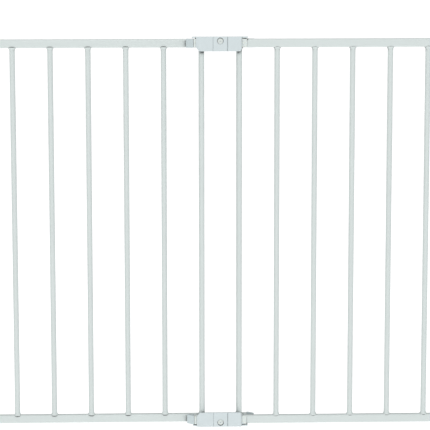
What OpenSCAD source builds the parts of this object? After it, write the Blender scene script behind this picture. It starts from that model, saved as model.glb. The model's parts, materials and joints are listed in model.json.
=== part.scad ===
// Extending safety gate for a doorway or stairs: two identical barred panels that slide
// past each other, hinged to the wall on one side and latched on the other.
//
// X runs across the doorway from the hinge wall to the latch wall, Y through it, Z up.
// The origin is in the middle of the doorway, at the lowest edge of the wall brackets.
// The front panel (towards -Y) carries the latch, the rear panel (towards +Y) the hinge.

/* [Doorway] */
// Distance between the two walls with the panels drawn out as shown
opening_w = 1040; // [1038:1:1041]

/* [Panels] */
// Height of a panel over its two rails
panel_h = 725; // [500:5:900]
// Number of bars in each panel
bar_count = 8; // [6:1:8]
// Distance between bar centres
bar_pitch = 70; // [69:0.5:70.5]
// Outer diameter of a bar
bar_d = 10; // [9:0.5:10]
// Wall thickness of a bar
bar_wall = 1; // [0.8:0.1:1.5]
// Diameter of the flared foot where a bar meets a rail
flare_d = 13.6; // [11:0.2:13.6]
// Height of the flared foot
flare_h = 4; // [3:0.5:8]
// How far the flare laps over the rail's edge
flare_lap = 1; // [1:0.5:2]

/* [Rails] */
// Height of a rail
rail_h = 16; // [15:0.5:16]
// Depth of a rail
rail_t = 12; // [11:0.5:12]
// Corner radius of a rail
rail_r = 4; // [3:0.5:4]
// Wall thickness of a rail
rail_wall = 1.2; // [1:0.1:1.5]
// Free space between the front rail and the rear rail
plane_gap = 4; // [4:0.5:5]

/* [Centre brackets] */
// Half width of the flat front of the cover
cover_half_w = 37.5; // [36:0.5:38]
// Width of the long bevel at the cover's hinge end
cover_bevel = 7.3; // [6:0.1:8]
// Cover height beyond the rail's centre, on the outer side
cover_out = 12; // [11:0.5:13]
// Cover height beyond the rail's centre, on the inner side
cover_in = 15; // [14:0.5:16]
// Half length of the flange along the rails
flange_half_w = 51.4; // [50:0.2:52]
// Diameter of the clamp screw's thread
clamp_screw_d = 5; // [4:0.5:5]

/* [Hinge and latch] */
// Diameter of a hinge pin
pin_d = 8; // [6:0.5:8]
// Travel of the latch bolt
bolt_travel = 10; // [8:0.5:10]
// Travel of the safety button
button_travel = 2.5; // [1.5:0.5:2.5]
// Diameter of a wall screw hole
screw_hole_d = 4.5; // [4:0.5:5]

/* [Hidden] */
$fn = 64;
eps = 0.1;
running = 0.05;
gap = 0.3;

// Heights: every bracket is drawn round its rail's centre, outer side up
plate_out = 34;
plate_in = 32;
rail_low_z = plate_out;
rail_high_z = rail_low_z + panel_h - rail_h;

// Depths
rail_y = plane_gap / 2 + rail_t / 2;
bar_y = rail_y - 1;
rail_face_y = rail_y + rail_t / 2;

// Widths, on the front panel; the rear panel is the same, turned by half a turn
wall_x = opening_w / 2;
rail_inner_x = -50.4;
rail_outer_x = 478;
fitting_x = 465;
fitting_end_x = 506;

// Inner end caps
cap_slant_x = -52;
cap_tip_x = -63.5;
cap_lip = 1;
cap_lip_z = 0.3;
cap_plug_x = -38;

// Wall brackets
plate_t = 4;
plate_half_w = 18;
plate_r = 5;
hole_low = -22;
hole_high = 24;
sink_d = 8.5;
sink_depth = 1.6;

// Hinges
pin_x = -503;
barrel_r = 10;
barrel_half_h = 10;
bore_end = -6;
pin_end = -5;
washer_t = 0.9;
washer_r = 8;
shelf_z = barrel_half_h + gap + washer_t;
shelf_t = 6;
shelf_r = 12;
pin_head_r = 6;
pin_head_t = 3;

// Centre bracket stack, measured forward from the middle plane
glide_in = rail_face_y + gap;
glide_out = glide_in + 0.9;
front_wall_out = glide_out + 2.4;
cover_face = front_wall_out + 2;
rear_shell_out = cover_face;
flange_t = 2.6;
bracket_x = -0.7;
flange_back = rear_shell_out - 4.4;
flange_under = cover_out - flange_t;
cover_right_x = 40;
housing_half_w = 46;
shell_in = 4.5;
glide_strip = 36;
web_t = 3;
web_low = -5.5;
clamp_z = 3.5;
recess_z = 4;
recess_r = 6;
head_r = 5.3;
head_t = 0.9;
head_gap = 0.15;
socket_depth = 1.2;
nut_af = 8;
groove_x = 13.4;
groove_w = 1.7;
groove_left_w = 0.9;

// Latch
latch_y = -rail_y;
housing_front = -18;
housing_back = 0;
housing_low = -11;
housing_high = 13;
bolt_w = 5;
bolt_h = 10;
bolt_x = 484;
bolt_tip_x = 505.5;
bolt_clear = 0.4;
stem_x = 486;
stem_l = 5;
stem_w = 4;
grip_x = 476.5;
grip_l = 20.5;
grip_h = 5;
button_x = 494;
button_r = 5;
button_boss = -20;
button_face = button_boss - button_travel;
button_back = -19;
spring_seat = -14;
button_stem_r = 2.4;
spring_coils = 3;
spring_wire = 0.6;
spring_r = 3.6;
keeper_x = 509;
keeper_half_h = 12;
pocket_clear = 0.6;
nose_end_x = 513;
nose_half_h = 5;
nose_half_w = 4;
nose_stem_r = 3;
nose_stem_l = 12;

// Small fitting screws
fix_x = 471;
fix_d = 3.5;
fix_head_r = 3.2;
fix_head_t = 1.8;
fix_length = 9;

white_steel = [0.87, 0.90, 0.89];
white_plastic = [0.84, 0.88, 0.89];
cap_plastic = [0.78, 0.83, 0.84];
natural_nylon = [0.92, 0.93, 0.90];
zinc_steel = [0.72, 0.73, 0.74];
brass_yellow = [0.80, 0.68, 0.38];

// ---------- placing ----------

// Puts a shape drawn round a rail's centre at the top rail
module at_top() {
    translate([0, 0, rail_high_z]) children();
}

// The same at the bottom rail, with the outer side down
module at_bottom() {
    translate([0, 0, rail_low_z]) mirror([0, 0, 1]) children();
}

// A centre bracket's piece at the top and at the bottom
module bracket_at_top() {
    at_top() translate([bracket_x, 0, 0]) children();
}

module bracket_at_bottom() {
    at_bottom() translate([bracket_x, 0, 0]) children();
}

// Turns a shape of the front panel into the rear panel's
module as_rear() {
    rotate([0, 0, 180]) children();
}

// ---------- shared shapes ----------

// Rectangle with true round corners, centred
module round_rect(w, h, r) {
    square([w - 2 * r, h], center = true);
    square([w, h - 2 * r], center = true);
    for (x = [-1, 1], y = [-1, 1]) {
        translate([x * (w / 2 - r), y * (h / 2 - r)]) circle(r);
    }
}

// Extrudes an outline of the YZ plane from x0 to x1
module along_x(x0, x1) {
    translate([x0, 0, 0]) rotate([90, 0, 90]) linear_extrude(x1 - x0) children();
}

// Box given by its two corners
module span(low, high) {
    translate(low) cube(high - low);
}

// Upright prism from z0 to z1 over an outline in plan
module prism(z0, z1) {
    translate([0, 0, z0]) linear_extrude(z1 - z0) children();
}

// Cylinder from y0 to y1 through (x, z)
module rod_y(x, z, y0, y1, r) {
    translate([x, y1, z]) rotate([90, 0, 0]) cylinder(h = y1 - y0, r = r);
}

// ---------- panels ----------

// Outside of a front rail, between two places on it
module rail_solid(x0, x1) {
    translate([0, -rail_y, 0]) along_x(x0, x1) round_rect(rail_t, rail_h, rail_r);
}

// Inside of a front rail
module rail_hollow(x0, x1) {
    translate([0, -rail_y, 0]) along_x(x0, x1)
        round_rect(rail_t - 2 * rail_wall, rail_h - 2 * rail_wall, rail_r - rail_wall);
}

// Front rail as a tube
module rail_tube() {
    difference() {
        rail_solid(rail_inner_x, rail_outer_x);
        rail_hollow(rail_inner_x - eps, rail_outer_x + eps);
    }
}

// Hole for a small screw through one wall of a rail: the wall that faces away from the other
// panel, or where inward is true the wall that faces it
module rail_screw_hole(x, inward) {
    y0 = inward ? -rail_y : -rail_face_y - eps;
    rod_y(x, 0, y0, y0 + rail_t / 2 + eps, fix_d / 2 + running);
}

// Front rail, held in its latch fitting by a screw from the front
module front_rail() {
    color(white_steel) difference() {
        rail_tube();
        rail_screw_hole(fix_x, false);
    }
}

// Rear rail, held in its hinge fitting from the front and in the centre bracket from the back
module rear_rail() {
    color(white_steel) as_rear() difference() {
        rail_tube();
        rail_screw_hole(fix_x, true);
        rail_screw_hole(-bracket_x, false);
    }
}

// One foot of a bar, cut to the rail it stands on; drawn below the top rail's centre
module bar_foot() {
    translate([0, 0, -rail_h / 2 - flare_h]) cylinder(h = flare_h, r1 = bar_d / 2, r2 = flare_d / 2);
    translate([0, 0, -rail_h / 2]) cylinder(h = flare_lap, r = flare_d / 2);
}

// Bar number i of the front panel, counted from its inner end
module bar(i) {
    x = -bar_pitch / 2 + (i - 1) * bar_pitch;
    low = rail_low_z + rail_h / 2;
    high = rail_high_z - rail_h / 2;
    color(white_steel) difference() {
        union() {
            translate([x, -bar_y, low]) cylinder(h = high - low, r = bar_d / 2);
            translate([x, -bar_y, 0]) {
                at_top() bar_foot();
                at_bottom() bar_foot();
            }
        }
        translate([x, -bar_y, low - flare_lap - eps])
            cylinder(h = high - low + 2 * (flare_lap + eps), r = bar_d / 2 - bar_wall);
        at_top() rail_solid(x - bar_pitch / 2, x + bar_pitch / 2);
        at_bottom() rail_solid(x - bar_pitch / 2, x + bar_pitch / 2);
    }
}

// Cap on the inner end of a front rail: a sleeve with a plug, and a front that slants back
module end_cap() {
    front = -rail_face_y - cap_lip;
    back = -rail_y + rail_t / 2 + cap_lip;
    color(cap_plastic) difference() {
        union() {
            prism(-rail_h / 2 - cap_lip_z, rail_h / 2 + cap_lip_z)
                polygon([[rail_inner_x, front], [cap_slant_x, front], [cap_tip_x, back - 5],
                         [cap_tip_x, back], [rail_inner_x, back]]);
            rail_hollow(cap_slant_x, cap_plug_x);
        }
        rail_tube();
    }
}

// ---------- centre bracket ----------

// Cut of the cover seen from the front: chamfered at its inner corners
module cover_outline() {
    left = -cover_half_w - cover_bevel;
    polygon([[left, cover_out], [cover_right_x, cover_out], [cover_right_x, -cover_in + 5],
             [cover_right_x - 3, -cover_in], [left + 6, -cover_in], [left, -cover_in + 7]]);
}

// C-shaped moulding round both rails: rear shell, flange, front wall and a web between the rails
module bracket_housing() {
    left = -cover_half_w - cover_bevel + 2;
    color(white_plastic) difference() {
        union() {
            span([-flange_half_w, -glide_out, flange_under], [flange_half_w, flange_back, cover_out]);
            span([-housing_half_w, rail_face_y, -shell_in], [housing_half_w, rear_shell_out, cover_out]);
            span([-housing_half_w, plane_gap / 2 + 1, rail_h / 2],
                 [-rail_inner_x - 0.4, rail_face_y + eps, flange_under + eps]);
            span([-housing_half_w, -web_t / 2, web_low], [housing_half_w, web_t / 2, cover_out]);
            span([left, -front_wall_out, -cover_in + 7], [cover_right_x - 2, -glide_out, flange_under + eps]);
            span([left, -front_wall_out, flange_under], [cover_right_x - 2, -glide_out + eps, cover_out - 1]);
        }
        rod_y(0, clamp_z, -front_wall_out - eps, -glide_out + eps, clamp_screw_d / 2 + running);
        clamp_nut_shape(eps);
        rod_y(0, 0, rail_face_y - eps, rear_shell_out + eps, fix_d / 2 + running);
        for (s = [-1, 1]) {
            translate([s * housing_half_w, rear_shell_out, 0])
                rotate([0, 0, 45]) cube([6, 6, 80], center = true);
            translate([s * groove_x, rear_shell_out, 0])
                rotate([0, 0, 45]) cube([groove_w, groove_w, 80], center = true);
        }
    }
}

// Snap-on front of the bracket, with the recess that the clamp screw is reached through
module bracket_cover() {
    left = -cover_half_w - cover_bevel;
    color(white_plastic) difference() {
        intersection() {
            rotate([90, 0, 0]) linear_extrude(cover_face) cover_outline();
            prism(-30, 30)
                polygon([[left, -glide_out], [left, -glide_out - 1.6], [-cover_half_w, -cover_face],
                         [cover_right_x - 2, -cover_face], [cover_right_x, -cover_face + 2],
                         [cover_right_x, -glide_out]]);
        }
        span([left + 2, -front_wall_out, -cover_in + 7], [cover_right_x - 2, 0, cover_out - 1]);
        rod_y(0, recess_z, -cover_face - eps, -front_wall_out + eps, recess_r);
        translate([0, -cover_face - 2.2, recess_z]) rotate([180, 0, 0])
            cylinder(h = 15, r1 = 3.8, r2 = 1);
        translate([-groove_x, -cover_face, 0])
            rotate([0, 0, 45]) cube([groove_left_w, groove_left_w, 80], center = true);
        translate([groove_x, -cover_face, 0])
            rotate([0, 0, 45]) cube([groove_w, groove_w, 80], center = true);
    }
}

// Nylon liner that the front rail slides in
module rail_glide() {
    half = flange_half_w - 2.2;
    color(natural_nylon) {
        span([-half, -glide_out, -rail_h / 2 + 1], [half, -glide_in, rail_h / 2]);
        span([-glide_strip, -glide_out, rail_h / 2 - eps], [glide_strip, -glide_in, flange_under]);
        span([-glide_strip, -glide_out, rail_h / 2 + gap], [glide_strip, -web_t / 2, flange_under]);
    }
}

// Room taken by the captive nut behind the front wall
module clamp_nut_shape(extra) {
    translate([0, -glide_out + extra, clamp_z]) rotate([90, 0, 0])
        cylinder(h = 1.8 + extra, d = nut_af / cos(30), $fn = 6);
}

module clamp_nut() {
    color(brass_yellow) difference() {
        clamp_nut_shape(0);
        rod_y(0, clamp_z, -front_wall_out, -glide_out + eps, clamp_screw_d / 2 + running);
    }
}

// Screw that presses the glide onto the front rail and so locks the gate's width
module clamp_screw() {
    head_back = -front_wall_out - head_gap;
    color(natural_nylon) difference() {
        union() {
            rod_y(0, clamp_z, head_back - head_t, head_back, head_r);
            rod_y(0, clamp_z, head_back - eps, -glide_out - gap, clamp_screw_d / 2);
        }
        translate([0, head_back - head_t + socket_depth, clamp_z]) rotate([90, 0, 0])
            cylinder(h = socket_depth + eps, r = 1.73, $fn = 6);
    }
}

// ---------- small screws ----------

// Pan head screw along Y with its head at y and its shank towards the given side
module pan_screw(x, y, side) {
    color(zinc_steel) {
        rod_y(x, 0, min(y, y - side * fix_head_t), max(y, y - side * fix_head_t), fix_head_r);
        rod_y(x, 0, min(y, y + side * fix_length), max(y, y + side * fix_length), fix_d / 2);
    }
}

module bracket_rear_screws() {
    bracket_at_top() pan_screw(0, rear_shell_out, -1);
    bracket_at_bottom() pan_screw(0, rear_shell_out, -1);
}

module latch_end_screws() {
    at_top() pan_screw(fix_x, housing_front, 1);
    at_bottom() pan_screw(fix_x, housing_front, 1);
}

module hinge_end_screws() {
    at_top() pan_screw(-fix_x, plane_gap / 2 - 2, 1);
    at_bottom() pan_screw(-fix_x, plane_gap / 2 - 2, 1);
}

// ---------- hinge ----------

// Plastic fitting on the outer end of a rear rail, with the barrel that turns on the pin
module hinge_end() {
    color(white_plastic) difference() {
        union() {
            span([-fitting_x - 21, 0, -barrel_half_h], [-fitting_x, 2 * rail_y, barrel_half_h]);
            span([pin_x, rail_y - 6, -barrel_half_h + 2], [-fitting_x - 20, rail_y + 6, barrel_half_h - 2]);
            translate([pin_x, rail_y, -barrel_half_h]) cylinder(h = 2 * barrel_half_h, r = barrel_r);
        }
        as_rear() difference() {
            rail_solid(fitting_x - 1, rail_outer_x);
            rail_hollow(fitting_x - 2, rail_outer_x + eps);
        }
        as_rear() rail_hollow(fitting_x - 2, fitting_x + 3);
        translate([pin_x, rail_y, bore_end])
            cylinder(h = barrel_half_h - bore_end + eps, r = pin_d / 2 + running);
        rod_y(-fix_x, 0, -eps, fix_length + 1, fix_d / 2 + running);
    }
}

// Two screw holes through a wall plate, sunk on the side away from the wall
module plate_holes(wall_side) {
    for (z = [hole_low, hole_high]) {
        translate([wall_side * (wall_x + eps), 0, z]) rotate([0, -wall_side * 90, 0]) {
            cylinder(h = plate_t + 2 * eps, d = screw_hole_d);
            translate([0, 0, plate_t + eps - sink_depth])
                cylinder(h = sink_depth + eps, d1 = screw_hole_d, d2 = sink_d);
        }
    }
}

// Wall plate with round corners and two sunk screw holes; wall_side is -1 or 1 along X
module wall_plate(wall_side, y) {
    x0 = min(wall_side * wall_x, wall_side * (wall_x - plate_t));
    translate([0, y, 0]) difference() {
        translate([0, 0, (plate_out - plate_in) / 2]) along_x(x0, x0 + plate_t)
            round_rect(2 * plate_half_w, plate_out + plate_in, plate_r);
        plate_holes(wall_side);
    }
}

// Hinge bracket on the wall: plate, shelf with the pin's hole, and two ribs
module hinge_bracket() {
    face = -wall_x + plate_t;
    color(white_plastic) {
        wall_plate(-1, rail_y);
        difference() {
            union() {
                span([face, rail_y - shelf_r, shelf_z], [pin_x, rail_y + shelf_r, shelf_z + shelf_t]);
                translate([pin_x, rail_y, shelf_z]) cylinder(h = shelf_t, r = shelf_r);
                for (s = [-1, 1]) {
                    translate([0, rail_y + s * (shelf_r - 1.5) + 1.5, 0]) rotate([90, 0, 0])
                        linear_extrude(3) polygon([[face, shelf_z + shelf_t], [face, plate_out - 5],
                                                   [face + 3, plate_out - 5], [pin_x + 4, shelf_z + shelf_t]]);
                }
            }
            translate([pin_x, rail_y, shelf_z - eps])
                cylinder(h = shelf_t + 2 * eps, r = pin_d / 2 + running);
        }
    }
}

module hinge_pin() {
    color(zinc_steel) translate([pin_x, rail_y, 0]) {
        translate([0, 0, pin_end]) cylinder(h = shelf_z + shelf_t - pin_end, r = pin_d / 2);
        translate([0, 0, shelf_z + shelf_t]) cylinder(h = pin_head_t, r = pin_head_r);
    }
}

module hinge_washer() {
    color(natural_nylon) translate([pin_x, rail_y, shelf_z - washer_t]) difference() {
        cylinder(h = washer_t, r = washer_r);
        translate([0, 0, -eps]) cylinder(h = washer_t + 2 * eps, r = pin_d / 2 + running);
    }
}

// ---------- latch ----------

// Sleeve of a latch-side fitting round the front rail's outer end
module latch_sleeve(low, high) {
    difference() {
        span([fitting_x, housing_front, low], [fitting_end_x, housing_back, high]);
        difference() {
            rail_solid(fitting_x - 1, rail_outer_x);
            rail_hollow(fitting_x - 2, rail_outer_x + eps);
        }
        rod_y(fix_x, 0, housing_front - eps, housing_front + fix_length + 1, fix_d / 2 + running);
    }
}

module latch_housing() {
    half_w = bolt_w / 2 + bolt_clear;
    half_h = bolt_h / 2 + bolt_clear;
    color(white_plastic) difference() {
        union() {
            latch_sleeve(housing_low, housing_high);
            rod_y(button_x, 0, button_boss, housing_front + eps, button_r + 3);
        }
        span([bolt_x - 2, latch_y - half_w, -half_h], [fitting_end_x + eps, latch_y + half_w, half_h]);
        span([stem_x - 0.5, latch_y - stem_w / 2 - bolt_clear, half_h - eps],
             [stem_x + stem_l + bolt_travel + 0.5, latch_y + stem_w / 2 + bolt_clear, housing_high + eps]);
        rod_y(button_x, 0, button_boss - eps, spring_seat, button_r + running);
        rod_y(button_x, 0, spring_seat - eps, latch_y - half_w + eps, button_stem_r + running);
    }
}

// Steel bolt inside the housing, shown drawn back
module latch_bolt() {
    color(zinc_steel) span([bolt_x, latch_y - bolt_w / 2, -bolt_h / 2],
                           [bolt_tip_x, latch_y + bolt_w / 2, bolt_h / 2]);
}

// Thumb slide on top of the housing; its stem goes down to the bolt
module latch_slide() {
    color(cap_plastic) {
        span([stem_x, latch_y - stem_w / 2, bolt_h / 2],
             [stem_x + stem_l, latch_y + stem_w / 2, housing_high + gap + eps]);
        difference() {
            span([grip_x, housing_front + 3, housing_high + gap],
                 [grip_x + grip_l, housing_back - 3, housing_high + gap + grip_h]);
            for (i = [0 : 4]) {
                translate([grip_x + 3 + i * 3.6, 0, housing_high + gap + grip_h])
                    rotate([0, 45, 0]) cube([1.6, 60, 1.6], center = true);
            }
        }
    }
}

// Safety button on the housing's front
module latch_button() {
    color(cap_plastic) {
        rod_y(button_x, 0, button_face, button_back, button_r);
        rod_y(button_x, 0, button_back - eps, spring_seat + 0.6, button_stem_r);
    }
}

// Coil spring behind the button: a round wire swept along a helix
module button_spring() {
    steps = 16;
    sides = 8;
    length = spring_seat - button_back - spring_wire;
    rings = steps * spring_coils;
    points = [
        for (i = [0 : rings], j = [0 : sides - 1])
            let (turn = 360 * i / steps, side = 360 * j / sides,
                 r = spring_r + spring_wire / 2 * cos(side))
            [button_x + r * cos(turn),
             button_back + spring_wire / 2 + length * i / rings + spring_wire / 2 * sin(side),
             r * sin(turn)]
    ];
    walls = [
        for (i = [0 : rings - 1], j = [0 : sides - 1])
            let (k = (j + 1) % sides)
            [i * sides + j, i * sides + k, (i + 1) * sides + k, (i + 1) * sides + j]
    ];
    first = [[for (j = [0 : sides - 1]) sides - 1 - j]];
    last = [[for (j = [0 : sides - 1]) rings * sides + j]];
    color(zinc_steel) polyhedron(points = points, faces = concat(first, walls, last));
}

// Lower fitting of the latch side
module lower_latch_end() {
    color(white_plastic) difference() {
        latch_sleeve(housing_low, -housing_low);
        nose_stem(nose_stem_r + running);
    }
}

// Round stem by which the nose is held in the lower fitting
module nose_stem(r) {
    translate([fitting_end_x - nose_stem_l, latch_y, 0]) rotate([0, 90, 0])
        cylinder(h = nose_stem_l + eps, r = r);
}

// Steel nose that sits in the lower keeper
module lower_latch_nose() {
    color(zinc_steel) {
        span([fitting_end_x, latch_y - nose_half_w, -nose_half_h],
             [nose_end_x, latch_y + nose_half_w, nose_half_h]);
        nose_stem(nose_stem_r);
    }
}

// Upper keeper on the wall, with the pocket for the bolt
module keeper_top() {
    half_w = bolt_w / 2 + pocket_clear;
    half_h = bolt_h / 2 + pocket_clear;
    color(white_plastic) {
        wall_plate(1, latch_y);
        difference() {
            span([keeper_x, latch_y - 10, -keeper_half_h], [wall_x - plate_t, latch_y + 10, keeper_half_h]);
            span([keeper_x - eps, latch_y - half_w, -half_h], [wall_x, latch_y + half_w, half_h]);
        }
    }
}

// Lower keeper: two shelves open towards the front, and a stop at the back
module keeper_bottom() {
    inner = nose_half_h + 1.5;
    stop = latch_y + nose_half_w + 0.8;
    color(white_plastic) {
        wall_plate(1, latch_y);
        difference() {
            span([keeper_x, latch_y - 10, -keeper_half_h], [wall_x - plate_t, stop + 5.2, keeper_half_h]);
            span([keeper_x - eps, latch_y - 10 - eps, -inner], [wall_x, stop, inner]);
        }
    }
}

// ---------- parts ----------

at_top() front_rail();  // front_rail_top
at_bottom() front_rail();  // front_rail_bottom
at_top() rear_rail();  // rear_rail_top
at_bottom() rear_rail();  // rear_rail_bottom
for (i = [1 : bar_count]) {
    bar(i);
    as_rear() bar(i);
}
at_top() end_cap();  // front_end_cap_top
at_bottom() end_cap();  // front_end_cap_bottom
at_top() as_rear() end_cap();  // rear_end_cap_top
at_bottom() as_rear() end_cap();  // rear_end_cap_bottom
bracket_at_top() bracket_housing();  // bracket_housing_top
bracket_at_bottom() bracket_housing();  // bracket_housing_bottom
bracket_at_top() bracket_cover();  // bracket_cover_top
bracket_at_bottom() bracket_cover();  // bracket_cover_bottom
bracket_at_top() rail_glide();  // rail_glide_top
bracket_at_bottom() rail_glide();  // rail_glide_bottom
bracket_at_top() clamp_nut();  // clamp_nut_top
bracket_at_bottom() clamp_nut();  // clamp_nut_bottom
bracket_at_top() clamp_screw();  // clamp_screw_top
bracket_at_bottom() clamp_screw();  // clamp_screw_bottom
bracket_rear_screws();
at_top() hinge_end();  // hinge_end_top
at_bottom() hinge_end();  // hinge_end_bottom
hinge_end_screws();
at_top() hinge_bracket();  // hinge_bracket_top
at_bottom() hinge_bracket();  // hinge_bracket_bottom
at_top() hinge_pin();  // hinge_pin_top
at_bottom() hinge_pin();  // hinge_pin_bottom
at_top() hinge_washer();  // hinge_washer_top
at_bottom() hinge_washer();  // hinge_washer_bottom
at_top() latch_housing();
at_bottom() lower_latch_end();
at_bottom() lower_latch_nose();
latch_end_screws();
at_top() latch_bolt();
at_top() latch_slide();
at_top() latch_button();
at_top() button_spring();
at_top() keeper_top();
at_bottom() keeper_bottom();
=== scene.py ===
"""Looks for the extending safety gate: materials, finishing detail, light and camera."""

import json
import math

import bmesh
import bpy
from mathutils import Matrix, Vector


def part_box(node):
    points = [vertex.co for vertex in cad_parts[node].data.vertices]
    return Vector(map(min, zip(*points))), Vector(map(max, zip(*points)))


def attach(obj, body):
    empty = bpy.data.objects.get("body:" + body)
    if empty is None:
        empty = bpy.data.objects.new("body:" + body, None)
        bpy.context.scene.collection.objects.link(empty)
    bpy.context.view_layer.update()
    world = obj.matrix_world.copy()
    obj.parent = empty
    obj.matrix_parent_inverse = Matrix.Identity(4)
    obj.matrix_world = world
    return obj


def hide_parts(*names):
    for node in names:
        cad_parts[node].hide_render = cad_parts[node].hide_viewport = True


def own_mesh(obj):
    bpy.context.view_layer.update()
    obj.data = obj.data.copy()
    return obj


bpy.ops.wm.read_factory_settings(use_empty=True)
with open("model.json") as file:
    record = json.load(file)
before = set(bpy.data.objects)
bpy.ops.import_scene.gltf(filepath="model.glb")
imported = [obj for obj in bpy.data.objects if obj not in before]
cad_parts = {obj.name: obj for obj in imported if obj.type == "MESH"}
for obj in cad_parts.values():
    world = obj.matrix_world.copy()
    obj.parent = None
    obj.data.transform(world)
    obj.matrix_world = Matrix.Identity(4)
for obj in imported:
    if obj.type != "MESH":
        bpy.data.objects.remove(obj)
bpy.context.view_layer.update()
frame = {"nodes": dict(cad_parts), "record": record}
nodes = frame["nodes"]
slot_of = {row["node"]: row["material_slot"] for row in frame["record"]["subparts"]}

MM = 0.001
SHARP = math.radians(30)


# ---------- materials ----------

NOISE_SPREAD = (0.3, 0.7)  # nearly all values of a noise texture lie between these
NOISE_MIDDLE = (0.35, 0.65)
SATIN = 0.35  # specular level of the coats and plastics

DUST_TONE = (0.42, 0.41, 0.39, 1.0)
DUST_UP = (0.5, 1.0)  # how far a face looks up where dust starts, and where it is full

# Painted shade: tight corners and faces below overhangs are darkened towards this colour, by how
# enclosed they are
PAINTED_SHADE_TONE = (0.035, 0.040, 0.042, 1.0)
CREASE_SHADE_REACH = 12 * MM
CREASE_SHADE_RANGE = (0.34, 0.72)  # openness where the painted shade is full, and where it ends
STEEL_CREASE_SHADE_RANGE = (0.45, 0.78)
CREASE_SHADE_LEAN = 0.55  # openness is looked for upwards, so the painted shade lies below overhangs
CREASE_SHADE_RAYS = 12


class Shader:
    """One node material, with short calls to add and link nodes."""

    def __init__(self, name, **values):
        self.material = bpy.data.materials.new(name)
        self.material.use_nodes = True
        self.tree = self.material.node_tree
        self.bsdf = self.tree.nodes["Principled BSDF"]
        for key, value in values.items():
            self.set(self.bsdf, key, value)
        self.place = self.add("ShaderNodeTexCoord").outputs["Object"]

    def add(self, kind, **inputs):
        node = self.tree.nodes.new(kind)
        for key, value in inputs.items():
            self.set(node, key, value)
        return node

    def set(self, node, key, value):
        """Set or link one input: by its name, with _ for a space, or as _N by its number."""
        number = key[1:]
        socket = node.inputs[int(number)] if number.isdigit() else node.inputs[key.replace("_", " ")]
        if isinstance(value, bpy.types.NodeSocket):
            self.tree.links.new(value, socket)
        else:
            socket.default_value = value

    def combine(self, kind, operation, a, b):
        """A Math or VectorMath node."""
        node = self.tree.nodes.new(kind)
        node.operation = operation
        self.set(node, "_0", a)
        self.set(node, "_1", b)
        return node.outputs[0]

    def mix(self, share, a, b):
        """From colour a at share 0 to colour b at share 1."""
        node = self.tree.nodes.new("ShaderNodeMix")
        node.data_type = "RGBA"
        self.set(node, "_0", share)
        self.set(node, "_6", a)
        self.set(node, "_7", b)
        return node.outputs[2]

    def ramp(self, value, spread, to=(0.0, 1.0)):
        return self.add("ShaderNodeMapRange", Value=value, From_Min=spread[0], From_Max=spread[1],
                        To_Min=to[0], To_Max=to[1]).outputs[0]

    def noise(self, scale, detail, rough=0.5, stretch=(1, 1, 1)):
        where = self.add("ShaderNodeMapping", Vector=self.place, Scale=stretch).outputs[0]
        return self.add("ShaderNodeTexNoise", Vector=where, Scale=scale, Detail=detail,
                        Roughness=rough).outputs[0]

    def patches(self, scale, detail, spread=NOISE_SPREAD, to=(0.0, 1.0)):
        """Soft patches, from one value to the other."""
        return self.ramp(self.noise(scale, detail), spread, to)

    def specks(self, scale, edge, depth):
        """Small round spots: depth at the middle of each, falling to nothing within edge."""
        cells = self.add("ShaderNodeTexVoronoi", Vector=self.place, Scale=scale)
        return self.ramp(cells.outputs["Distance"], edge, (depth, 0.0))

    def bump(self, height, distance, strength, under=None):
        node = self.add("ShaderNodeBump", Height=height, Distance=distance, Strength=strength)
        if under is not None:
            self.set(node, "Normal", under)
        return node.outputs[0]

    def finish(self, color, roughness=None, normal=None):
        for key, value in (("Base Color", color), ("Roughness", roughness), ("Normal", normal)):
            if value is not None:
                self.set(self.bsdf, key, value)
        return self.material


def tone(rgb, factor):
    return (*(c * factor for c in rgb), 1.0)


def tint(rgb, factors):
    return (*(c * factor for c, factor in zip(rgb, factors)), 1.0)


def dust(shader, color, amount):
    """A little greyer on faces that look up, and in patches."""
    normal = shader.add("ShaderNodeNewGeometry").outputs["Normal"]
    up = shader.add("ShaderNodeSeparateXYZ", Vector=normal).outputs[2]
    share = shader.combine("ShaderNodeMath", "MULTIPLY", shader.ramp(up, DUST_UP, (0.0, amount)),
                           shader.patches(60, 2, (0.35, 0.7)))
    return shader.mix(share, color, DUST_TONE)


def paint_crease_shade(shader, color, depth, spread=CREASE_SHADE_RANGE):
    """Painted shade that darkens tight corners and the faces below overhangs, however the object is
    looked at.
    """
    normal = shader.add("ShaderNodeNewGeometry").outputs["Normal"]
    leaned = shader.combine("ShaderNodeVectorMath", "ADD", normal, (0, 0, CREASE_SHADE_LEAN))
    leaned = shader.combine("ShaderNodeVectorMath", "NORMALIZE", leaned, (0, 0, 0))
    node = shader.add("ShaderNodeAmbientOcclusion", Distance=CREASE_SHADE_REACH, Normal=leaned)
    node.samples = CREASE_SHADE_RAYS
    # How enclosed the surface is sets the share of painted shade
    openness = shader.ramp(node.outputs["AO"], spread)
    return shader.mix(openness, shader.mix(1.0 - depth, PAINTED_SHADE_TONE, color), color)


def powder_coat(name, rgb):
    """Satin powder coat on steel: orange peel, faint clouding, fine flecks."""
    s = Shader(name, IOR=1.5, Specular_IOR_Level=SATIN)
    color = s.mix(s.patches(14, 3), tone(rgb, 0.985), tone(rgb, 1.01))
    color = s.mix(s.specks(2600, (0.05, 0.16), 0.25), color, tone(rgb, 0.8))
    # Painted shade in tight corners and below overhangs, stronger on the steel than on the plastics
    color = paint_crease_shade(s, dust(s, color, 0.10), 0.92, STEEL_CREASE_SHADE_RANGE)
    rough = s.patches(220, 2, to=(0.36, 0.46))
    peel = s.bump(s.noise(420, 1.5), 0.10 * MM, 0.35)
    grain = s.bump(s.noise(2400, 2), 0.03 * MM, 0.3, peel)
    return s.finish(color, rough, grain)


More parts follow.
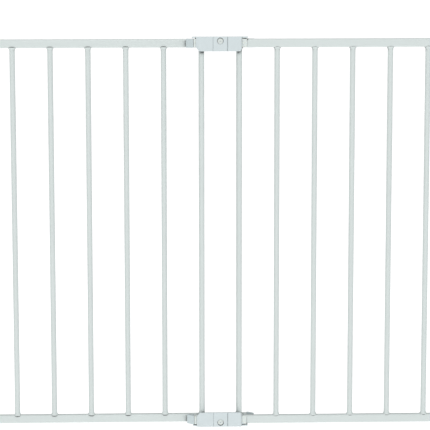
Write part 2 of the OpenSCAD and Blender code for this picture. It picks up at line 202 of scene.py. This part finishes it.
def moulded(name, rgb, rough, grain=3200, shade_depth=0.85, subsurface=0.0):
    """Injection moulded plastic with a fine spark-eroded grain and faint flow marks."""
    s = Shader(name, IOR=1.46, Specular_IOR_Level=SATIN, Subsurface_Weight=subsurface,
               Subsurface_Scale=1.5 * MM, Subsurface_Radius=(1.0, 0.9, 0.75))
    flow = s.ramp(s.noise(30, 3, 0.6, (1, 1, 2.5)), NOISE_SPREAD)
    color = s.mix(flow, tone(rgb, 0.98), tone(rgb, 1.01))
    # Painted shade in tight corners and below overhangs, as deep as shade_depth
    color = paint_crease_shade(s, dust(s, color, 0.08), shade_depth)
    sink = s.bump(s.noise(70, 1), 0.12 * MM, 0.25)
    erosion = s.bump(s.noise(grain, 3, 0.6), 0.03 * MM, 0.35, sink)
    return s.finish(color, s.patches(150, 2, to=rough), erosion)


def zinc_plate(name, rgb):
    """Bright zinc plate: faint bluish and straw tints, drawing lines and small pits."""
    s = Shader(name, Metallic=1.0)
    bluish, straw = tint(rgb, (0.93, 0.97, 1.04)), tint(rgb, (1.06, 1.02, 0.93))
    color = s.mix(s.patches(90, 2, NOISE_MIDDLE), bluish, straw)
    color = s.mix(s.specks(900, (0.04, 0.12), 0.5), color, tone(rgb, 0.55))
    rough = s.patches(320, 3, to=(0.24, 0.38))
    lines = s.bump(s.noise(900, 2, 0.5, (1, 1, 0.08)), 0.03 * MM, 0.3)
    return s.finish(color, rough, lines)


def turned_brass(name, rgb):
    """Turned brass, a little dulled."""
    s = Shader(name, Metallic=1.0)
    color = s.mix(s.patches(260, 2, NOISE_MIDDLE), tone(rgb, 0.85), tone(rgb, 1.05))
    rough = s.patches(500, 2, to=(0.25, 0.4))
    rings = s.bump(s.noise(1800, 2, 0.5, (0.1, 1, 1)), 0.02 * MM, 0.3)
    return s.finish(color, rough, rings)


STEEL_RGB = (0.600, 0.655, 0.645)
PLASTIC_RGB = (0.585, 0.650, 0.665)
GREY_RGB = (0.540, 0.615, 0.630)
NYLON_RGB = (0.665, 0.720, 0.700)
ZINC_RGB = (0.62, 0.63, 0.65)
BRASS_RGB = (0.80, 0.62, 0.32)

finishes = {
    "painted_steel": powder_coat("gate_powder_coat", STEEL_RGB),
    "white_plastic": moulded("gate_white_plastic", PLASTIC_RGB, (0.40, 0.50)),
    "grey_plastic": moulded("gate_grey_plastic", GREY_RGB, (0.42, 0.52)),
    "nylon": moulded("gate_nylon", NYLON_RGB, (0.32, 0.42), grain=1800, shade_depth=0.5, subsurface=0.25),
    "brass": turned_brass("gate_brass", BRASS_RGB),
    "zinc_steel": zinc_plate("gate_zinc", ZINC_RGB),
}


# ---------- CAD nodes that stay: their finish, rounded edges and clean shading ----------

# Radius of the rounded edges in mm
EDGE_ROUND = {
    "painted_steel": 0.25,
    "white_plastic": 0.6,
    "grey_plastic": 0.7,
    "nylon": 0.25,
    "brass": 0.3,
    "zinc_steel": 0.35,
}
EDGE_STEPS = 2
WELD_REACH = 0.002 * MM
FLAT_ANGLE = math.radians(0.5)


def dress(obj, slot):
    obj.data.materials.clear()
    obj.data.materials.append(finishes[slot])


def soften(obj, radius):
    mesh = obj.data
    if "custom_normal" in mesh.attributes:
        mesh.attributes.remove(mesh.attributes["custom_normal"])
    mesh.shade_smooth()
    weld = obj.modifiers.new("weld", "WELD")
    weld.merge_threshold = WELD_REACH
    flat = obj.modifiers.new("flat", "DECIMATE")
    flat.decimate_type = "DISSOLVE"
    flat.angle_limit = FLAT_ANGLE
    bevel = obj.modifiers.new("round", "BEVEL")
    bevel.width = radius * MM
    bevel.segments = EDGE_STEPS
    bevel.limit_method = "ANGLE"
    bevel.angle_limit = SHARP
    bevel.use_clamp_overlap = True
    shade = obj.modifiers.new("shade", "WEIGHTED_NORMAL")
    shade.keep_sharp = True


for name, obj in nodes.items():
    dress(obj, slot_of[name])
    soften(obj, EDGE_ROUND[slot_of[name]])


# ---------- pieces that replace a CAD node ----------


def mesh_of(builder, name):
    bmesh.ops.recalc_face_normals(builder, faces=builder.faces)
    mesh = bpy.data.meshes.new(name)
    builder.to_mesh(mesh)
    builder.free()
    return mesh


def add_piece(name, mesh, node, body, sharp):
    """Put a mesh in the place of a node, in the node's finish."""
    mesh.shade_smooth()
    mesh.set_sharp_from_angle(angle=sharp)
    piece = bpy.data.objects.new(name, mesh)
    bpy.context.scene.collection.objects.link(piece)
    dress(piece, slot_of[node])
    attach(piece, body)
    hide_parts(node)
    return piece


# ---------- screws, with a domed head and a cross recess ----------

# Outlines of the heads, from the seat to the middle: radius and height over the seat, in mm
PAN_HEAD = ((1.75, 0), (3.08, 0), (3.2, 0.15), (3.2, 0.7), (3.02, 1.15), (2.6, 1.48),
            (1.95, 1.69), (1.0, 1.79), (0, 1.8))
CLAMP_HEAD = ((2.5, 0), (5.15, 0), (5.3, 0.15), (5.3, 0.65), (5.17, 0.84), (4.9, 0.9),
              (4.35, 0.9), (4.1, 0.8), (0, 0.8))
# Recesses in mm: how far an arm reaches, half its width, and its depth
PAN_CROSS = (1.75, 0.42, 1.1)
CLAMP_CROSS = (2.3, 0.4, 0.5)
PAN_SHANK_D = 3.5
PAN_SHANK_LENGTH = 9.0
CLAMP_SHANK_D = 5.0
TIP_LENGTH = 0.6
CROSS_TAPER = 0.6  # size of the recess at its bottom, as a share of its size at the top
CROSS_OVER = 0.2  # the cutter stands this far out of the head


def head_height(head):
    return max(height for _, height in head)


def turned(outline, name, steps=48):
    """Solid of revolution about Z."""
    builder = bmesh.new()
    rings = []
    for radius, height in outline:
        corners = 1 if radius == 0 else steps
        rings.append([builder.verts.new((radius * MM * math.cos(2 * math.pi * i / steps),
                                         radius * MM * math.sin(2 * math.pi * i / steps), height * MM))
                      for i in range(corners)])
    for low, high in zip(rings, rings[1:]):
        for i in range(steps):
            ring = [low[i % len(low)], low[(i + 1) % steps % len(low)],
                    high[(i + 1) % steps % len(high)], high[i % len(high)]]
            builder.faces.new(list(dict.fromkeys(ring)))
    return mesh_of(builder, name)


def cross(reach, arm, depth, top, name):
    """Tapered cross that is cut out of a screw head."""
    builder = bmesh.new()
    layers = []
    for share, height in ((CROSS_TAPER, top - depth), (1.0, top + CROSS_OVER)):
        r, a = reach * share, arm * share
        outline = ((a, r), (a, a), (r, a), (r, -a), (a, -a), (a, -r),
                   (-a, -r), (-a, -a), (-r, -a), (-r, a), (-a, a), (-a, r))
        layers.append([builder.verts.new((x * MM, y * MM, height * MM)) for x, y in outline])
    low, high = layers
    builder.faces.new(low)
    builder.faces.new(high)
    for i in range(len(low)):
        j = (i + 1) % len(low)
        builder.faces.new((low[i], low[j], high[j], high[i]))
    return mesh_of(builder, name)


def screw_mesh(head, shank_d, length, recess, name):
    """Screw along Z with its seat at 0, head upwards."""
    tip = ((0, -length), (0.3 * shank_d, -length), (0.5 * shank_d, TIP_LENGTH - length))
    blank = bpy.data.objects.new(name, turned(tip + head, name))
    cutter = bpy.data.objects.new(name + "_cutter", cross(*recess, head[-1][1], name + "_cutter"))
    for obj in (blank, cutter):
        bpy.context.scene.collection.objects.link(obj)
    cut = blank.modifiers.new("recess", "BOOLEAN")
    cut.object = cutter
    cut.solver = "EXACT"
    evaluated = blank.evaluated_get(bpy.context.evaluated_depsgraph_get())
    mesh = bpy.data.meshes.new_from_object(evaluated)
    for obj in (blank, cutter):
        bpy.data.objects.remove(obj)
    return mesh


def screws(node, body, mesh, side, head_h, turn):
    """The screw or two of a node, heads towards -Y (side -1) or +Y (side 1).

    Two screws stand above each other, so such a node is higher than it is wide.
    """
    low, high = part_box(node)
    radius = (high[0] - low[0]) / 2
    y = low[1] + head_h * MM if side < 0 else high[1] - head_h * MM
    heights = {low[2] + radius, high[2] - radius}
    if max(heights) - min(heights) < radius:
        heights = {(low[2] + high[2]) / 2}
    upright = Matrix.Rotation(-side * math.pi / 2, 4, "X")
    builder = bmesh.new()
    for z in sorted(heights):
        copy = mesh.copy()
        place = Matrix.Translation(((low[0] + high[0]) / 2, y, z))
        # The cross of each screw stands at another angle
        copy.transform(place @ upright @ Matrix.Rotation(turn + 2 * z, 4, "Z"))
        builder.from_mesh(copy)
        bpy.data.meshes.remove(copy)
    add_piece(node + "_detail", mesh_of(builder, node + "_detail"), node, body, SHARP)


small_screw = screw_mesh(PAN_HEAD, PAN_SHANK_D, PAN_SHANK_LENGTH, PAN_CROSS, "small_screw")
small_head_h = head_height(PAN_HEAD)
screws("bracket_rear_screws", "hinge_panel", small_screw, 1, small_head_h, 0.3)
screws("hinge_end_screws", "hinge_panel", small_screw, -1, small_head_h, 0.7)
screws("latch_end_screws", "latch_panel", small_screw, -1, small_head_h, 0.1)

clamp_head_h = head_height(CLAMP_HEAD)
for level in ("top", "bottom"):
    name = "clamp_screw_" + level
    low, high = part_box(name)
    length = (high[1] - low[1]) / MM - clamp_head_h
    clamp_screw = screw_mesh(CLAMP_HEAD, CLAMP_SHANK_D, length, CLAMP_CROSS, name + "_blank")
    screws(name, level + "_clamp_screw", clamp_screw, -1, clamp_head_h, 0.35)


# ---------- button spring: its end coils lie flat -------------------------------------------------

SPRING_WIRE = 0.6  # mm
SPRING_COILS = 3
SPRING_FLAT = 0.15  # share of the wire that lies flat at each end
SPRING_SHARP = math.radians(60)


def coil(low, high, name, steps=40, sides=10):
    """Spring along Y that fills a box."""
    builder = bmesh.new()
    wire = SPRING_WIRE / 2 * MM
    middle = (Vector(low) + Vector(high)) / 2
    radius = (high[0] - low[0]) / 2 - wire
    length = high[1] - low[1] - 2 * wire
    count = steps * SPRING_COILS
    rings = []
    for i in range(count + 1):
        share = min(max((i / count - SPRING_FLAT) / (1 - 2 * SPRING_FLAT), 0), 1)
        angle = 2 * math.pi * i / steps
        outward = Vector((math.cos(angle), 0, math.sin(angle)))
        heart = Vector((middle.x, low[1] + wire + length * share, middle.z)) + outward * radius
        rings.append([builder.verts.new(heart + outward * wire * math.cos(2 * math.pi * j / sides)
                                        + Vector((0, wire * math.sin(2 * math.pi * j / sides), 0)))
                      for j in range(sides)])
    for low_ring, high_ring in zip(rings, rings[1:]):
        for j in range(sides):
            k = (j + 1) % sides
            builder.faces.new((low_ring[j], low_ring[k], high_ring[k], high_ring[j]))
    builder.faces.new(rings[0])
    builder.faces.new(rings[-1])
    return mesh_of(builder, name)


low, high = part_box("button_spring")
spring_mesh = coil(low, high, "button_spring_coil")
spring = add_piece("button_spring_coil", spring_mesh, "button_spring", "latch_panel", SPRING_SHARP)
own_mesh(spring)


# ---------- floor, light, camera ----------

FLOOR_Z = -0.05  # the gate hangs on its wall fittings, clear of the floor
FLOOR_HALF = 12.0
FLOOR_GLOW = 0.76  # keeps the floor as white as the backdrop
FLOOR_RGB = (0.58, 0.58, 0.58)

BACKDROP = 1.1  # the world as the camera sees it
WORLD_FRONT = 0.71  # the world as a light, from the front and from behind
WORLD_BACK = 0.26
WORLD_TURN = (-0.7, 0.3)  # direction Y where the front's strength ends and the back's begins
# Name, place, diameter and power of each lamp
LIGHTS = (
    ("key", (-1.0, -11.0, 6.8), 4.0, 345.0),
    ("above", (-0.3, -1.0, 12.0), 2.4, 320.0),
)
LIGHT_AIM = (0, 0, 0.4)

# Solved from the bars and rails in the photo
CAMERA_PLACE = (-0.1340, -2.8101, 0.7689)
CAMERA_YAW = math.radians(-1.32)
CAMERA_DOWN = math.radians(6.34)
CAMERA_ROLL = math.radians(-0.19)
CAMERA_SENSOR = 36
CAMERA_LENS = 126.67
CAMERA_SHIFT = (0.0737, -0.0414)
CAMERA_CLIP = (0.05, 60)


def make_floor():
    mesh = bpy.data.meshes.new("floor")
    builder = bmesh.new()
    corners = ((-1, -1), (1, -1), (1, 1), (-1, 1))
    builder.faces.new([builder.verts.new((x * FLOOR_HALF, y * FLOOR_HALF, FLOOR_Z))
                       for x, y in corners])
    builder.to_mesh(mesh)
    builder.free()
    floor = bpy.data.objects.new("floor", mesh)
    bpy.context.scene.collection.objects.link(floor)
    s = Shader("studio_floor", Roughness=0.9, Specular_IOR_Level=0.1,
               Emission_Color=(1, 1, 1, 1), Emission_Strength=FLOOR_GLOW)
    color = s.mix(s.patches(3, 2), tone(FLOOR_RGB, 0.995), tone(FLOOR_RGB, 1.0))
    mesh.materials.append(s.finish(color))


def make_world():
    """White backdrop, and soft light that is stronger from the front than from behind."""
    world = bpy.data.worlds.new("studio")
    bpy.context.scene.world = world
    world.use_nodes = True
    tree = world.node_tree
    background = tree.nodes["Background"]
    background.inputs[0].default_value = (1, 1, 1, 1)
    way = tree.nodes.new("ShaderNodeSeparateXYZ")
    tree.links.new(tree.nodes.new("ShaderNodeTexCoord").outputs["Generated"], way.inputs[0])
    soft = tree.nodes.new("ShaderNodeMapRange")
    soft.interpolation_type = "SMOOTHSTEP"
    soft.inputs["From Min"].default_value = WORLD_TURN[0]
    soft.inputs["From Max"].default_value = WORLD_TURN[1]
    soft.inputs["To Min"].default_value = WORLD_FRONT
    soft.inputs["To Max"].default_value = WORLD_BACK
    tree.links.new(way.outputs[1], soft.inputs["Value"])
    strength = tree.nodes.new("ShaderNodeMapRange")
    seen = tree.nodes.new("ShaderNodeLightPath").outputs["Is Camera Ray"]
    tree.links.new(seen, strength.inputs["Value"])
    tree.links.new(soft.outputs[0], strength.inputs["To Min"])
    strength.inputs["To Max"].default_value = BACKDROP
    tree.links.new(strength.outputs[0], background.inputs[1])


def make_lamps():
    for name, place, size, power in LIGHTS:
        data = bpy.data.lights.new(name, "AREA")
        data.shape = "DISK"
        data.size = size
        data.energy = power
        lamp = bpy.data.objects.new(name, data)
        lamp.location = place
        lamp.rotation_euler = (Vector(LIGHT_AIM) - Vector(place)).to_track_quat("-Z", "Y").to_euler()
        bpy.context.scene.collection.objects.link(lamp)


def make_camera():
    data = bpy.data.cameras.new("camera")
    data.sensor_width = CAMERA_SENSOR
    data.lens = CAMERA_LENS
    data.shift_x, data.shift_y = CAMERA_SHIFT
    data.clip_start, data.clip_end = CAMERA_CLIP
    across = Vector((math.cos(CAMERA_YAW), math.sin(CAMERA_YAW), 0))
    level = Vector((-math.sin(CAMERA_YAW), math.cos(CAMERA_YAW), 0))
    ahead = level * math.cos(CAMERA_DOWN) - Vector((0, 0, math.sin(CAMERA_DOWN)))
    upward = level * math.sin(CAMERA_DOWN) + Vector((0, 0, math.cos(CAMERA_DOWN)))
    right = across * math.cos(CAMERA_ROLL) + upward * math.sin(CAMERA_ROLL)
    top = upward * math.cos(CAMERA_ROLL) - across * math.sin(CAMERA_ROLL)
    turn = Matrix((right, top, -ahead)).transposed().to_4x4()
    camera = bpy.data.objects.new("camera", data)
    camera.matrix_world = Matrix.Translation(CAMERA_PLACE) @ turn
    bpy.context.scene.collection.objects.link(camera)
    bpy.context.scene.camera = camera


make_floor()
make_world()
make_lamps()
make_camera()
settings = bpy.context.scene.view_settings
settings.view_transform = "Standard"
settings.look = "None"
